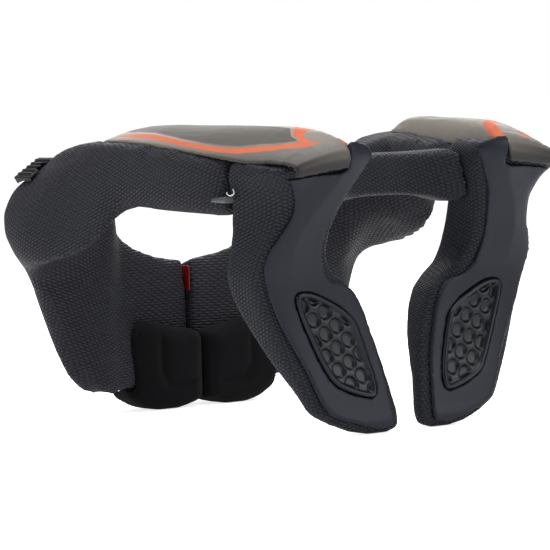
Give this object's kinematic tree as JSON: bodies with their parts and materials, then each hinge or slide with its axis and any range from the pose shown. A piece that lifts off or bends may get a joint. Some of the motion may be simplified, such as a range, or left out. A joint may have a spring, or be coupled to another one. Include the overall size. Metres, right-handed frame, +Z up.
{
  "type": "neck brace",
  "caption": "Padded motocross neck brace with a split front collar, shoulder arms, top shells and back fins.",
  "frame": {"origin": "middle of the bounding box on the floor under the brace", "axes": "+X to the wearer's left, +Y to the wearer's back where the fins are, -Y to the front split, +Z up"},
  "size_m": [0.3162, 0.2986, 0.1977],
  "materials": {
    "knit": "coarse dark knit over foam",
    "plate_plastic": "satin blue-black moulding",
    "vent_plastic": "glossy rim and hollows",
    "shell_plastic": "satin dark shell with a plain orange stripe",
    "pad_cloth": "very dark brushed cloth",
    "tab_plastic": "ribbed rubbery plastic",
    "anchor_plastic": "grey moulding",
    "latch_plastic": "red moulding"
  },
  "bodies": {
    "root": {"collar_left": "knit", "collar_right": "knit", "fin_left": "knit", "fin_right": "knit", "fin_plate_left": "plate_plastic", "fin_plate_right": "plate_plastic", "fin_vent_left": "vent_plastic", "fin_vent_right": "vent_plastic", "top_shell_left": "shell_plastic", "top_shell_right": "shell_plastic", "chest_pad_left": "pad_cloth", "chest_pad_right": "pad_cloth", "shoulder_tab_left": "tab_plastic", "shoulder_tab_right": "tab_plastic", "strap_anchor_left": "anchor_plastic", "strap_anchor_right": "anchor_plastic", "back_bridge": "knit", "front_latch": "latch_plastic"}
  },
  "joints": []
}
